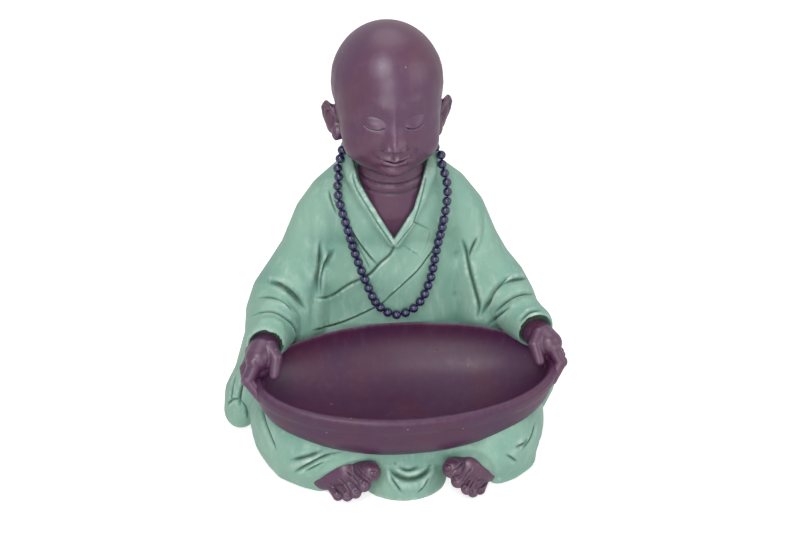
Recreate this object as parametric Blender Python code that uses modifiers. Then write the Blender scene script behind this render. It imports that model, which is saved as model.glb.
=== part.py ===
# Seated child monk with an offering bowl in the lap.
# One cast resin figure, a string of loose round beads and their thread.
# Metres, +Z up, the figure faces -Y, the origin is on the flat underside.
import bpy
import bmesh
import math
import numpy as np
from mathutils import Vector, Matrix, Euler
from mathutils.bvhtree import BVHTree

# Driving sizes, in metres
FIGURE_HEIGHT = 0.240

BOWL_LENGTH = 0.152          # across the hollow, left to right
BOWL_WIDTH = 0.0716          # across the hollow, along its slope
BOWL_DEPTH = 0.027           # of the hollow, below the rim
BOWL_WALL = 0.0052
BOWL_FOOT = 0.017            # from the hollow's lowest point down to the underside of the bowl
BOWL_TILT = 13.5             # degrees, the rim rises towards the belly

BEAD_COUNT = 57              # they share the string's length, which sets their diameter
BEAD_BORE = 0.0016
BEAD_SPACE = 0.0003          # left between one bead and the next
THREAD_DIAMETER = 0.0006
CONTACT_GAP = 0.0003         # between a bead and the robe it lies on

# The figure's pose and proportions are written in parts of 240 of its height
PART = FIGURE_HEIGHT / 240.0

BOWL_CENTRE = Vector((3.0, -40.5, 65.0)) * PART


# An empty scene with one collection for the figurine and one for its cutters
for old in list(bpy.data.objects):
    bpy.data.objects.remove(old, do_unlink=True)

statue = bpy.data.collections.new("monk_figurine")
cutters = bpy.data.collections.new("monk_cutters")
bpy.context.scene.collection.children.link(statue)
bpy.context.scene.collection.children.link(cutters)


def paint(name, colour, roughness, metallic=0.0):
    material = bpy.data.materials.new(name)
    material.use_nodes = True
    shader = material.node_tree.nodes["Principled BSDF"]
    shader.inputs["Base Color"].default_value = (*colour, 1.0)
    shader.inputs["Roughness"].default_value = roughness
    shader.inputs["Metallic"].default_value = metallic
    return material


robe_paint = paint("robe_paint", (0.30, 0.51, 0.40), 0.55)
skin_paint = paint("skin_paint", (0.115, 0.055, 0.095), 0.35)
bead_paint = paint("bead_paint", (0.03, 0.025, 0.08), 0.3)
thread_cord = paint("thread_cord", (0.02, 0.02, 0.03), 0.8)


def keep(name, mesh, home, material=None, helper=False):
    item = bpy.data.objects.new(name, mesh)
    home.objects.link(item)
    if material:
        mesh.materials.append(material)
    if helper:
        item.hide_render = True
        item.display_type = 'WIRE'
    return item


# Modelling clay: rounded masses that are later fused into one skin.
# Places and radii are in parts of the height, the turn in degrees.
def ball(clay, centre, radii, turn=(0, 0, 0)):
    if not hasattr(radii, "__len__"):
        radii = (radii, radii, radii)
    clay.append(Matrix.Translation(Vector(centre) * PART)
                @ Euler([math.radians(a) for a in turn]).to_matrix().to_4x4()
                @ Matrix.Diagonal((*[r * PART for r in radii], 1.0)))


def limb(clay, points, radii):
    """Balls drawn along a line; a radius may be one number or three."""
    sizes = [Vector(r) if hasattr(r, "__len__") else Vector((r, r, r)) for r in radii]
    for a, b, size_a, size_b in zip(points, points[1:], sizes, sizes[1:]):
        a, b = Vector(a), Vector(b)
        steps = max(2, int((b - a).length / (0.3 * min(*size_a, *size_b))))
        for i in range(steps + 1):
            t = i / steps
            ball(clay, a.lerp(b, t), size_a.lerp(size_b, t))


# Body under the robe
body = []
limb(body, [(1, 24, 152), (1, 24, 140), (1, 25, 124), (1, 26, 100), (2, 26.5, 82), (2, 27, 64), (1, 20, 36), (1, 14, 20)],
     [(22, 17, 12), (34, 23, 16), (42, 29, 24), (45, 33, 28), (50, 32.5, 26), (55, 33, 30), (66, 38, 28), (70, 44, 24)])
ball(body, (1, 13, 132), (39, 19, 29))

# Arms: shoulder to elbow, elbow to wrist, the flank, and the sleeve that hangs to the floor
limb(body, [(-15, 22, 152), (-28.5, 20, 139), (-35, 20, 127), (-43.5, 19, 106), (-50.5, 17, 95),
            (-58, 13, 84), (-62, 6, 78), (-65, -10, 75), (-67.5, -22, 75)],
     [12, 15, 15.5, 15.5, 16, 17, 17, 14.5, 12.5])
limb(body, [(17, 22, 152), (31.5, 20, 139), (39, 20, 126), (46.5, 19, 107), (53, 17, 94),
            (61, 13, 84), (65, 6, 78), (69, -10, 76), (72, -22, 76)],
     [12, 15, 15.5, 15.5, 16, 16, 16, 14, 12])
limb(body, [(-44, 16, 96), (-54, 14, 70), (-60, 18, 30)], [17, 22, 26])
limb(body, [(46, 16, 96), (55, 14, 70), (59, 18, 30)], [17, 22, 26])
limb(body, [(-66, 2, 70), (-75, 10, 44), (-81, 20, 22), (-81, 26, 9)],
     [(14, 16, 14), (12, 14, 12), (10, 14, 11), (9.5, 12, 10)])
limb(body, [(69, 0, 70), (76, 4, 46), (76, 14, 22), (76, 20, 9)],
     [(14, 16, 14), (11.5, 14, 12), (10, 14, 11), (9.5, 12, 10)])

# Crossed legs under the robe, and the fold of cloth between the feet
ball(body, (-46, -17, 24), (33, 45, 34))
ball(body, (49, -21, 24), (32, 47, 34))
limb(body, [(-45, -40, 24), (-20, -45, 27), (2, -46, 26), (25, -46, 27), (46, -43, 24)],
     [20, 17, 17, 17, 20])
ball(body, (1, -46, 5), (24, 23, 20))
ball(body, (0, -12, 14), (70, 42, 26))


def pour(clay, extra=()):
    """One mesh of all the balls in a list, with other closed shapes added."""
    one = bmesh.new()
    bmesh.ops.create_uvsphere(one, u_segments=20, v_segments=12, radius=1.0)
    unit = np.array([v.co for v in one.verts])
    rings = [[v.index for v in f.verts] for f in one.faces]
    one.free()
    points, faces = [], []
    for place in clay:
        start = len(points) * len(unit)
        turn = np.array(place)
        points.append(unit @ turn[:3, :3].T + turn[:3, 3])
        faces.extend([[i + start for i in ring] for ring in rings])
    points = list(np.concatenate(points)) if points else []
    for shape in extra:
        start = len(points)
        points.extend([v.co for v in shape.verts])
        faces.extend([[v.index + start for v in f.verts] for f in shape.faces])
    mesh = bpy.data.meshes.new("clay")
    mesh.from_pydata([tuple(p) for p in points], [], faces)
    return mesh


def skin_of(mesh):
    return BVHTree.FromPolygons([v.co for v in mesh.vertices], [list(f.vertices) for f in mesh.polygons])


body_skin = skin_of(pour(body))


def on_front(x, z):
    """Point and normal where the body's front faces the viewer at this x and z."""
    place, normal, _, _ = body_skin.ray_cast(Vector((x * PART, -1.0, z * PART)), Vector((0, 1, 0)))
    if place is None:
        return Vector((x * PART, 0, z * PART)), Vector((0, -1, 0))
    return place, normal


def fold(clay, points, radius, proud):
    """A roll of cloth laid along the front, given in x and z, standing proud of it."""
    path = []
    for x, z in points:
        place, normal = on_front(x, z)
        if normal.y > 0:
            normal = -normal
        path.append(tuple((place + normal * (proud - radius) * PART) / PART))
    limb(clay, path, [radius] * len(path))


# Robe: collar round the neck, crossed on the chest, the wrap and the larger folds
robe = []
limb(robe, [(1, -5, 124), (-6, -4, 134), (-13, -1, 146), (-19, 5, 157), (-21, 16, 163),
            (-18, 29, 163), (-10, 35, 163), (1, 37, 163), (12, 35, 163), (20, 29, 163),
            (23, 16, 163), (20, 5, 157), (15, -1, 146), (8, -4, 134), (2, -5, 124)],
     [4.5, 4.5, 5, 5, 5.5, 6, 6.5, 6.5, 6.5, 6, 5.5, 5, 5, 4.5, 4.5])
fold(robe, [(-23, 150), (-16, 136), (-8, 122), (0, 110), (6, 104)], 6, 2.4)
fold(robe, [(27, 150), (24, 136), (17, 121), (8, 108), (-4, 97), (-18, 90), (-32, 84)], 7, 3.3)
fold(robe, [(-36, 124), (-38, 112), (-39, 100), (-42, 88)], 4, 1.2)
fold(robe, [(43, 118), (41, 108), (44, 98), (47, 86)], 4, 1.2)
fold(robe, [(-69, 89), (-61, 92), (-53, 86), (-47, 78)], 5, 2.6)
fold(robe, [(-72, 80), (-64, 83), (-56, 76)], 5, 2.2)
fold(robe, [(72, 88), (66, 91), (59, 85), (53, 77)], 5, 2.6)
fold(robe, [(63, 98), (57, 94), (50, 86)], 5, 2.4)
fold(robe, [(-72, 40), (-58, 22), (-46, 20), (-34, 26), (-20, 29)], 5, 2.4)
fold(robe, [(-56, 12), (-46, 16), (-34, 23), (-22, 28)], 4, 2.4)
fold(robe, [(64, 14), (54, 18), (46, 28)], 5, 2.4)
fold(robe, [(-10, 22), (-6, 12), (1, 8), (9, 11), (14, 20)], 4, 3.3)

# Sleeve tips that come down to the bowl's rim
limb(robe, [(-62, -14, 80), (-59, -20, 70)], [8, 4])
limb(robe, [(68, -14, 80), (68, -20, 70)], [8, 4])

# Head tipped a little forward on a short neck, a plain shaved skull and round cheeks
head = []
limb(head, [(1, 12, 138), (1, 9, 172)], [19, 17])
ball(head, (-0.5, 12, 208), (29.5, 31.5, 32))
ball(head, (-0.5, 6, 198), (27.5, 28.5, 27.5))
ball(head, (-0.5, -1, 188), (26.5, 23, 22), (-12, 0, 0))
ball(head, (-0.5, -6, 178), (21, 17, 15))
ball(head, (-0.5, -17, 171), (9, 6.5, 6.5))
ball(head, (-0.5, -24, 186), (4, 4.5, 4))
for side in (-1, 1):
    ball(head, (-0.5 + side * 28.5, 17, 185), (4, 7, 11.5), (12, side * 14, side * 20))

# Feet on their outer edges, toes towards the middle
feet = []
limb(feet, [(-50, -44, 10), (-34, -54, 10), (-28, -58, 11)], [12, 12, 9])
for base, tip, r in (((-24, -60, 17), (-18.5, -66, 17), 5.4), ((-27, -60, 14), (-22, -67, 11), 3.7),
                     ((-31, -59, 11), (-26, -67, 7), 3.5), ((-35, -57, 8), (-31, -65, 4.5), 3.4),
                     ((-39, -55, 6), (-36, -62, 3.5), 3.2)):
    limb(feet, [base, tip], [r, r])
limb(feet, [(50, -50, 10), (40, -57, 9), (33, -61, 11)], [12, 12, 10])
for base, tip, r in (((29, -62, 17), (24, -67, 17), 5.2), ((33, -63, 14), (27, -69, 11), 3.7),
                     ((37, -63, 10), (31, -70, 6.5), 3.5), ((41, -61, 7), (35, -69, 4), 3.4),
                     ((44, -59, 5), (40, -66, 3.5), 3.2)):
    limb(feet, [base, tip], [r, r])

# Hands on the rim: the palm over it, four fingers outside, the thumb inside
hands = []
for side, back, base, middle, tip, thumb, web in (
        (-1, [(-67, -22, 77), (-71, -31, 77), (-74, -37, 73.5)], (-74.5, -42, 72), (-79, -43, 65), (-76, -45, 54.5),
         [(-69, -33, 80), (-64.5, -40, 73), (-65, -43.5, 64)], (-72, -40, 69)),
        (1, [(72, -22, 78), (76.5, -31, 77), (80, -37, 72.5)], (81, -42, 71), (85.2, -43, 63.5), (82, -45, 52.5),
         [(75.5, -33, 80), (71.5, -40, 72), (72.5, -43.5, 62.5)], (78.5, -40, 67.5))):
    limb(hands, back, [8.5, 8, 7])
    for k in range(4):
        aside = Vector((0, 4.2 * k, 0))
        limb(hands, [Vector(base) + aside, Vector(middle) + aside, Vector(tip) + aside + Vector((0, 0, 1.5 * k))],
             [3.8, 3.5, 2.9])
    limb(hands, thumb, [4.2, 3.8, 3.2])
    ball(hands, web, 5.5)


# Bowl: an oval turned form, tilted towards the viewer, with a rounded rim
def turned(name, profile, length, width, home):
    """A profile of radius share and height, turned, then drawn out to the oval."""
    mesh = bpy.data.meshes.new(name)
    steps = [(r, 0.0, z) for r, z in profile]
    mesh.from_pydata(steps, [(i, i + 1) for i in range(len(steps) - 1)], [])
    item = bpy.data.objects.new(name, mesh)
    home.objects.link(item)
    screw = item.modifiers.new("turn", 'SCREW')
    screw.steps = screw.render_steps = 48
    screw.use_merge_vertices = True
    screw.merge_threshold = 0.00005
    bpy.context.view_layer.update()
    solid = bpy.data.meshes.new_from_object(item.evaluated_get(bpy.context.evaluated_depsgraph_get()))
    bpy.data.objects.remove(item, do_unlink=True)
    shape = bmesh.new()
    shape.from_mesh(solid)
    shape.transform(Matrix.Translation(BOWL_CENTRE)
                    @ Matrix.Rotation(math.radians(BOWL_TILT), 4, 'X')
                    @ Matrix.Diagonal((length / 2, width / 2, 1.0, 1.0)))
    bmesh.ops.recalc_face_normals(shape, faces=shape.faces[:])
    if shape.calc_volume(signed=True) < 0:
        bmesh.ops.reverse_faces(shape, faces=shape.faces[:])
    return shape


def bowl_curve(depth, roundness):
    """Half of the bowl's section below its rim, as shares of the radius."""
    points = []
    for k in range(13):
        a = math.radians(k * 7.5)
        share = math.cos(a) ** 0.75 if k < 12 else 0.0
        points.append((share, -depth * math.sin(a) ** roundness))
    return points


outer = turned("bowl_outer", [(0.0, 0.0)] + bowl_curve(BOWL_DEPTH + BOWL_FOOT, 0.77),
               BOWL_LENGTH + 2 * BOWL_WALL, BOWL_WIDTH + 2 * BOWL_WALL, cutters)
inner = turned("bowl_inner", [(0.0, 0.004), (1.02, 0.004)] + bowl_curve(BOWL_DEPTH, 1.15),
               BOWL_LENGTH, BOWL_WIDTH, cutters)


def fuse(item, grain):
    skin = item.modifiers.new("fuse", 'REMESH')
    skin.mode = 'VOXEL'
    skin.voxel_size = grain * PART
    skin.use_smooth_shade = True


def soften(item, rounds):
    calm = item.modifiers.new("soften", 'SMOOTH')
    calm.factor = 0.5
    calm.iterations = rounds


def cut(item, tool, operation):
    step = item.modifiers.new(operation.lower(), 'BOOLEAN')
    step.operation = operation
    step.solver = 'EXACT'
    step.object = tool


figure = keep("monk_figure", pour(body + robe + head + feet, [outer]), statue, robe_paint)
figure.data.materials.append(skin_paint)
hollow = keep("bowl_hollow", pour([], [inner]), cutters, helper=True)
grip = keep("hand_masses", pour(hands), cutters, helper=True)
fuse(grip, 1.5)
bpy.ops.mesh.primitive_cube_add(size=1.0)
ground = bpy.context.object
ground.name = "underside_cut"
ground.scale = (FIGURE_HEIGHT * 2, FIGURE_HEIGHT * 2, FIGURE_HEIGHT)
ground.location = (0, 0, -FIGURE_HEIGHT / 2)
for home in list(ground.users_collection):
    home.objects.unlink(ground)
cutters.objects.link(ground)
ground.hide_render = True
ground.display_type = 'WIRE'

fuse(figure, 2.0)
cut(figure, hollow, 'DIFFERENCE')
cut(figure, grip, 'UNION')
fuse(figure, 1.9)
soften(figure, 2)
thin = figure.modifiers.new("thin", 'DECIMATE')
thin.ratio = 0.066
cut(figure, ground, 'DIFFERENCE')


# Necklace: its line hangs in a U on the chest and passes under the collar's back.
# Points are in parts of the height; the beads are then laid on the robe itself.
bpy.context.view_layer.update()
cast = bpy.data.meshes.new_from_object(figure.evaluated_get(bpy.context.evaluated_depsgraph_get()))
cast_skin = skin_of(cast)
bpy.data.meshes.remove(cast)

hang = [(2, -12, 80), (13, -12, 84), (20, -12, 97), (24, -10, 114), (27, -7, 131), (29.5, -3, 144),
        (30, 2, 153), (27, 9, 162), (21, 18, 169.5), (14, 29, 171), (5, 36, 171), (-4, 36, 171),
        (-13, 29, 171), (-20, 18, 169.5), (-25, 9, 162), (-28, 2, 153), (-27, -3, 144),
        (-24, -7, 133), (-21, -9, 121), (-17, -12, 108), (-12, -12, 95), (-7, -12, 85)]


def smooth_loop(points, count):
    """Catmull-Rom curve through a closed ring of points."""
    out = []
    n = len(points)
    for i in range(n):
        p0, p1, p2, p3 = (points[(i + k - 1) % n] for k in range(4))
        for j in range(count):
            t = j / count
            out.append(0.5 * ((2 * p1) + (p2 - p0) * t + (2 * p0 - 5 * p1 + 4 * p2 - p3) * t * t
                              + (3 * p1 - p0 - 3 * p2 + p3) * t ** 3))
    return out


def lay_on(points, lift):
    """Each point moved so that it is never nearer to the cast skin than lift."""
    laid = []
    for p in points:
        place, normal, _, _ = cast_skin.find_nearest(p)
        away = p - place
        far = away.length if away.dot(normal) > 0 else -away.length
        if far < lift:
            p = place + normal * lift
        laid.append(p)
    return laid


def even(points, count):
    """The same closed line with its points at equal distances."""
    ring = points + [points[0]]
    runs = [0.0]
    for a, b in zip(ring, ring[1:]):
        runs.append(runs[-1] + (b - a).length)
    out, k = [], 0
    for i in range(count):
        want = runs[-1] * i / count
        while runs[k + 1] < want:
            k += 1
        t = (want - runs[k]) / max(runs[k + 1] - runs[k], 1e-9)
        out.append(ring[k].lerp(ring[k + 1], t))
    return out, runs[-1]


bead_diameter = 4.8 * PART
drawn = smooth_loop([Vector(p) * PART for p in hang], 12)
line = drawn
for _ in range(16):
    # laid on the chest, kept clear of the robe, and evened out like a taut string
    bead_lift = bead_diameter / 2 + CONTACT_GAP
    n = len(line)
    line = [(line[i - 1] + line[i] * 2 + line[(i + 1) % n]) / 4 for i in range(n)]
    line = [p.lerp(q, 0.15) for p, q in zip(line, drawn)]
    laid = []
    for p in line:
        front, _, _, _ = cast_skin.ray_cast(Vector((p.x, -1.0, p.z)), Vector((0, 1, 0)))
        rest = min(1.0, max(0.0, (140 - p.z / PART) / 30))
        if rest > 0 and front is not None:
            p = Vector((p.x, p.y + (front.y - bead_lift * 1.1 - p.y) * rest, p.z))
        laid.append(p)
    line = lay_on(laid, bead_lift)
    beads, loop_length = even(line, BEAD_COUNT)
    bead_diameter = 0.975 * loop_length / BEAD_COUNT - BEAD_SPACE

for _ in range(80):
    # neighbours keep their distance, and every bead keeps clear of the robe
    moved = [p.copy() for p in beads]
    for i in range(BEAD_COUNT):
        j = (i + 1) % BEAD_COUNT
        gap = bead_diameter + BEAD_SPACE * 1.1 - (beads[j] - beads[i]).length
        if gap > 0:
            push = (beads[j] - beads[i]).normalized() * gap * 0.5
            moved[i] -= push
            moved[j] += push
    beads = lay_on(moved, bead_lift)

# One bead: a turned profile with its bore, drawn outer side top to bottom
half = math.sqrt((bead_diameter / 2) ** 2 - (BEAD_BORE / 2) ** 2)
profile = [(BEAD_BORE / 2, half)]
for degrees in (38, 0, -38):
    a = math.radians(degrees)
    profile.append((bead_diameter / 2 * math.cos(a), bead_diameter / 2 * math.sin(a)))
profile.append((BEAD_BORE / 2, -half))
bead_profile = bpy.data.meshes.new("bead_profile")
rim = bmesh.new()
corners = [rim.verts.new((r, 0.0, z)) for r, z in profile]
for a, b in zip(corners, corners[1:] + corners[:1]):
    rim.edges.new((a, b))
rim.to_mesh(bead_profile)
rim.free()
bead_profile.materials.append(bead_paint)

directions = []
for i in range(BEAD_COUNT):
    directions.append((beads[(i + 1) % BEAD_COUNT] - beads[i - 1]).normalized())
    bead = keep(f"bead_{i + 1:02d}", bead_profile, statue)
    bead.location = beads[i]
    bead.rotation_euler = directions[i].to_track_quat('Z', 'X').to_euler()
    turn = bead.modifiers.new("turn", 'SCREW')
    turn.steps = turn.render_steps = 8
    turn.use_merge_vertices = True
    turn.merge_threshold = 0.00002

# Thread: straight through each bore, bending only in the spaces between the beads
curve = bpy.data.curves.new("necklace_thread", 'CURVE')
curve.dimensions = '3D'
curve.bevel_depth = THREAD_DIAMETER / 2
curve.bevel_resolution = 0
curve.render_resolution_u = 0
run = curve.splines.new('POLY')
run.points.add(2 * BEAD_COUNT - 1)
reach = half + BEAD_SPACE * 0.4
for i in range(BEAD_COUNT):
    for k, way in enumerate((-1, 1)):
        run.points[2 * i + k].co = (*(beads[i] + directions[i] * reach * way), 1.0)
run.use_cyclic_u = True
curve.materials.append(thread_cord)
thread = bpy.data.objects.new("necklace_thread", curve)
statue.objects.link(thread)
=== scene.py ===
# Seated child monk with an offering bowl: one cast resin figure, hand painted,
# with a loose string of round beads. Metres, +Z up, the figure faces -Y.
import math
import bpy
import bmesh
import numpy as np
from mathutils import Euler, Matrix, Vector
from mathutils.bvhtree import BVHTree


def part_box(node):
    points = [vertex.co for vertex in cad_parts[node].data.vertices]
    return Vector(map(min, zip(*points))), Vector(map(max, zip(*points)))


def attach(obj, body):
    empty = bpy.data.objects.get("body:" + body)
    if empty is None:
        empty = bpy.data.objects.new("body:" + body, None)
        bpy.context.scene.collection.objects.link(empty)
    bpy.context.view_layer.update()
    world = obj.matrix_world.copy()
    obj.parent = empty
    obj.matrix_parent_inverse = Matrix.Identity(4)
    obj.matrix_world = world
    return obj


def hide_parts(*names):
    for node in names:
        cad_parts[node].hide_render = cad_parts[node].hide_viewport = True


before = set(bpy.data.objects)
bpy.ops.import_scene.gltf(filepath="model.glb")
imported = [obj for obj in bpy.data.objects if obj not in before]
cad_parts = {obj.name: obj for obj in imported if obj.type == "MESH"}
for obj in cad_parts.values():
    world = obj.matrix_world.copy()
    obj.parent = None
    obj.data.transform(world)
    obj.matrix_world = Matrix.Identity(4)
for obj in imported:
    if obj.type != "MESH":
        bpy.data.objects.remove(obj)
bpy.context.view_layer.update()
bpy.ops.object.select_all(action='DESELECT')
MM = 0.001


# View: a long lens a little to the figure's right and 27 degrees above it.
# The same sight lines place the folds that are drawn on the figure further down.
VIEW_AZIMUTH, VIEW_ELEVATION, VIEW_DISTANCE = math.radians(-7), math.radians(27), 1.1
VIEW_TARGET = Vector((0, 0, 0.110))
PICTURE_WIDTH, PICTURE_HEIGHT = 800, 535
LENS_PIXELS, SIGHT_X, SIGHT_Y = 2055.53, 390.84, 258.34     # focal length and the middle of the lens
SENSOR_WIDTH = 36                                           # mm

view_back = Vector((math.sin(VIEW_AZIMUTH) * math.cos(VIEW_ELEVATION),
                    -math.cos(VIEW_AZIMUTH) * math.cos(VIEW_ELEVATION), math.sin(VIEW_ELEVATION)))
view_place = VIEW_TARGET + view_back * VIEW_DISTANCE
view_turn = (-view_back).to_track_quat('-Z', 'Y')
bpy.ops.object.camera_add(location=view_place, rotation=view_turn.to_euler())
camera = bpy.context.object
camera.name = "camera"
camera.data.sensor_width = SENSOR_WIDTH
camera.data.lens = SENSOR_WIDTH * LENS_PIXELS / PICTURE_WIDTH
camera.data.shift_x = (PICTURE_WIDTH / 2 - SIGHT_X) / PICTURE_WIDTH
camera.data.shift_y = -(PICTURE_HEIGHT / 2 - SIGHT_Y) / PICTURE_WIDTH
bpy.context.scene.camera = camera


def sight(x, y):
    """Direction from the camera through a point of the 800 x 535 picture."""
    return (view_turn @ Vector(((x - SIGHT_X) / LENS_PIXELS, -(y - SIGHT_Y) / LENS_PIXELS, -1))).normalized()


# Studio: a pale floor, a bright even surround and four large soft lamps. The surround
# and the floor are brighter to the lens than the light they give.
def lamp(name, place, aim, size, power, tint=(1, 1, 1)):
    bpy.ops.object.light_add(type='AREA', location=place,
                             rotation=(Vector(aim) - Vector(place)).to_track_quat('-Z', 'Y').to_euler())
    light = bpy.context.object
    light.name = name
    light.data.shape = 'DISK'
    light.data.size = size
    light.data.energy = power
    light.data.color = tint


lamp("lamp_key", (-0.30, -0.80, 1.05), (0, 0, 0.10), 0.6, 6.0, (1.0, 0.99, 0.98))
lamp("lamp_low", (-0.14, -1.25, 0.40), (0, 0, 0.10), 0.7, 3.2)
lamp("lamp_fill", (0.95, -0.45, 0.55), (0, 0, 0.10), 0.8, 2.0, (0.97, 0.98, 1.0))
lamp("lamp_top", (0.05, 0.30, 1.15), (0, 0, 0.12), 0.9, 2.6)

surround = bpy.data.worlds.new("surround")
surround.use_nodes = True
web = surround.node_tree
SURROUND_LIGHT, SURROUND_MIRRORED, SURROUND_WATCHED = 0.38, 0.40, 0.62
path = web.nodes.new('ShaderNodeLightPath')
mirrored, watched = web.nodes.new('ShaderNodeMath'), web.nodes.new('ShaderNodeMath')
for node, extra in ((mirrored, SURROUND_MIRRORED), (watched, SURROUND_WATCHED)):
    node.operation = 'MULTIPLY_ADD'
    node.inputs[1].default_value = extra
mirrored.inputs[2].default_value = SURROUND_LIGHT
web.links.new(path.outputs["Is Glossy Ray"], mirrored.inputs[0])
web.links.new(path.outputs["Is Camera Ray"], watched.inputs[0])
web.links.new(mirrored.outputs["Value"], watched.inputs[2])
web.links.new(watched.outputs["Value"], web.nodes["Background"].inputs["Strength"])
web.nodes["Background"].inputs["Color"].default_value = (1.0, 1.0, 1.0, 1)
bpy.context.scene.world = surround
bpy.context.scene.view_settings.view_transform = 'Standard'

bpy.ops.mesh.primitive_plane_add(size=12, location=(0, 0, -0.0002))
floor = bpy.context.object
floor.name = "floor"
floor_paint = bpy.data.materials.new("floor_paint")
floor_paint.use_nodes = True
floor_shader = floor_paint.node_tree.nodes["Principled BSDF"]
floor_shader.inputs["Base Color"].default_value = (0.72, 0.72, 0.72, 1)
floor_shader.inputs["Roughness"].default_value = 0.9
floor_shader.inputs["Emission Color"].default_value = (1, 1, 1, 1)
floor_path = floor_paint.node_tree.nodes.new('ShaderNodeLightPath')
floor_glow = floor_paint.node_tree.nodes.new('ShaderNodeMath')
floor_glow.operation = 'MULTIPLY_ADD'
FLOOR_LIGHT, FLOOR_WATCHED = 0.27, 0.45
floor_glow.inputs[1].default_value = FLOOR_WATCHED
floor_glow.inputs[2].default_value = FLOOR_LIGHT
floor_paint.node_tree.links.new(floor_path.outputs["Is Camera Ray"], floor_glow.inputs[0])
floor_paint.node_tree.links.new(floor_glow.outputs["Value"], floor_shader.inputs["Emission Strength"])
floor.data.materials.append(floor_paint)


# Robe: cast in one with the figure, over the trunk, both arms and the crossed legs.
# Round masses are fused and smoothed like clay, then its folds, hems and collar
# bands are drawn into the surface with strokes, the way a modeller cuts them.
def ball(clay, centre, radii, turn=(0, 0, 0)):
    if not hasattr(radii, "__len__"):
        radii = (radii, radii, radii)
    clay.append(Matrix.Translation(Vector(centre) * MM)
                @ Euler([math.radians(a) for a in turn]).to_matrix().to_4x4()
                @ Matrix.Diagonal((*[r * MM for r in radii], 1.0)))


def limb(clay, points, radii, step=0.25):
    """Balls drawn along a line; a radius may be one number or three."""
    sizes = [Vector(r) if hasattr(r, "__len__") else Vector((r, r, r)) for r in radii]
    for a, b, size_a, size_b in zip(points, points[1:], sizes, sizes[1:]):
        a, b = Vector(a), Vector(b)
        count = max(2, int((b - a).length / (step * min(*size_a, *size_b))))
        for i in range(count + 1):
            ball(clay, a.lerp(b, i / count), size_a.lerp(size_b, i / count))


def pour(name, clay, grain, rounds):
    """All the balls in one object, fused at the grain (mm) and smoothed."""
    bpy.ops.mesh.primitive_uv_sphere_add(segments=24, ring_count=16, radius=1)
    item = bpy.context.object
    item.name = item.data.name = name
    unit = np.empty(len(item.data.vertices) * 3)
    item.data.vertices.foreach_get("co", unit)
    unit = unit.reshape(-1, 3)
    rings = [list(f.vertices) for f in item.data.polygons]
    points, faces = [], []
    for place in clay:
        turn = np.array(place)
        faces.extend([[i + len(points) * len(unit) for i in ring] for ring in rings])
        points.append(unit @ turn[:3, :3].T + turn[:3, 3])
    item.data.clear_geometry()
    item.data.from_pydata(np.concatenate(points).tolist(), [], faces)
    fuse = item.modifiers.new("fuse", 'REMESH')
    fuse.mode = 'VOXEL'
    fuse.voxel_size = grain * MM
    calm = item.modifiers.new("calm", 'SMOOTH')
    calm.factor = 0.5
    calm.iterations = rounds
    bpy.ops.object.modifier_apply(modifier="fuse")
    bpy.ops.object.modifier_apply(modifier="calm")
    bpy.ops.object.shade_smooth()
    item.select_set(False)
    return item


class Skin:
    """A piece's points and normals while strokes are cut into it."""

    def __init__(self, item):
        self.item = item
        self.refresh()

    def refresh(self):
        mesh = self.item.data
        n = len(mesh.vertices)
        self.at = np.empty(n * 3)
        mesh.vertices.foreach_get("co", self.at)
        self.at = self.at.reshape(-1, 3)
        self.out = np.empty(n * 3)
        mesh.vertices.foreach_get("normal", self.out)
        self.out = self.out.reshape(-1, 3)
        self.tree = BVHTree.FromPolygons([Vector(p) for p in self.at],
                                         [list(f.vertices) for f in mesh.polygons])
        if not hasattr(self, "wash") or len(self.wash) != n:
            self.wash = np.zeros(n)

    def write(self):
        self.item.data.vertices.foreach_set("co", self.at.ravel())
        self.item.data.update()

    def curve(self, points, count=6):
        """Catmull-Rom curve through points of any dimension."""
        points = [np.array(tuple(p), float) for p in points]
        points = [2 * points[0] - points[1]] + points + [2 * points[-1] - points[-2]]
        out = []
        for i in range(1, len(points) - 2):
            p0, p1, p2, p3 = points[i - 1:i + 3]
            for j in range(count):
                t = j / count
                out.append(0.5 * (2 * p1 + (p2 - p0) * t + (2 * p0 - 5 * p1 + 4 * p2 - p3) * t * t
                                  + (3 * p1 - p0 - 3 * p2 + p3) * t ** 3))
        out.append(points[-2])
        return out

    def seen(self, picture):
        """A line drawn in the picture, laid on the piece along the sight lines."""
        line = []
        for x, y in self.curve(picture):
            place, _, _, _ = self.tree.ray_cast(view_place, sight(x, y))
            if place is not None:
                line.append(place)
        return line

    def near(self, points):
        """A line through points in mm, laid on the nearest part of the piece."""
        return [self.tree.find_nearest(Vector(p) * MM)[0] for p in self.curve(points)]

    def field(self, line, reach):
        """Points within reach of a line: their index, distance, share along it and side."""
        line = np.array([tuple(p) for p in line])
        low, high = line.min(0) - reach, line.max(0) + reach
        near = np.where(np.all((self.at >= low) & (self.at <= high), axis=1))[0]
        p = self.at[near]
        best = np.full(len(near), 1e9)
        share = np.zeros(len(near))
        side = np.zeros(len(near))
        runs = np.linalg.norm(np.diff(line, axis=0), axis=1)
        total = max(runs.sum(), 1e-9)
        done = 0.0
        for a, b, run in zip(line, line[1:], runs):
            if run < 1e-7:
                continue
            way = (b - a) / run
            along = np.clip((p - a) @ way, 0, run)
            gap = p - (a + along[:, None] * way)
            far = np.linalg.norm(gap, axis=1)
            closer = far < best
            best[closer] = far[closer]
            share[closer] = (done + along[closer]) / total
            turned = np.cross(way, gap[closer])
            side[closer] = np.einsum('ij,ij->i', turned, self.out[near[closer]])
            done += run
        keep = best < reach
        return near[keep], best[keep] / MM, share[keep], np.sign(side[keep])

    def move(self, index, lift):
        self.at[index] += self.out[index] * (lift * MM)[:, None]


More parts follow.
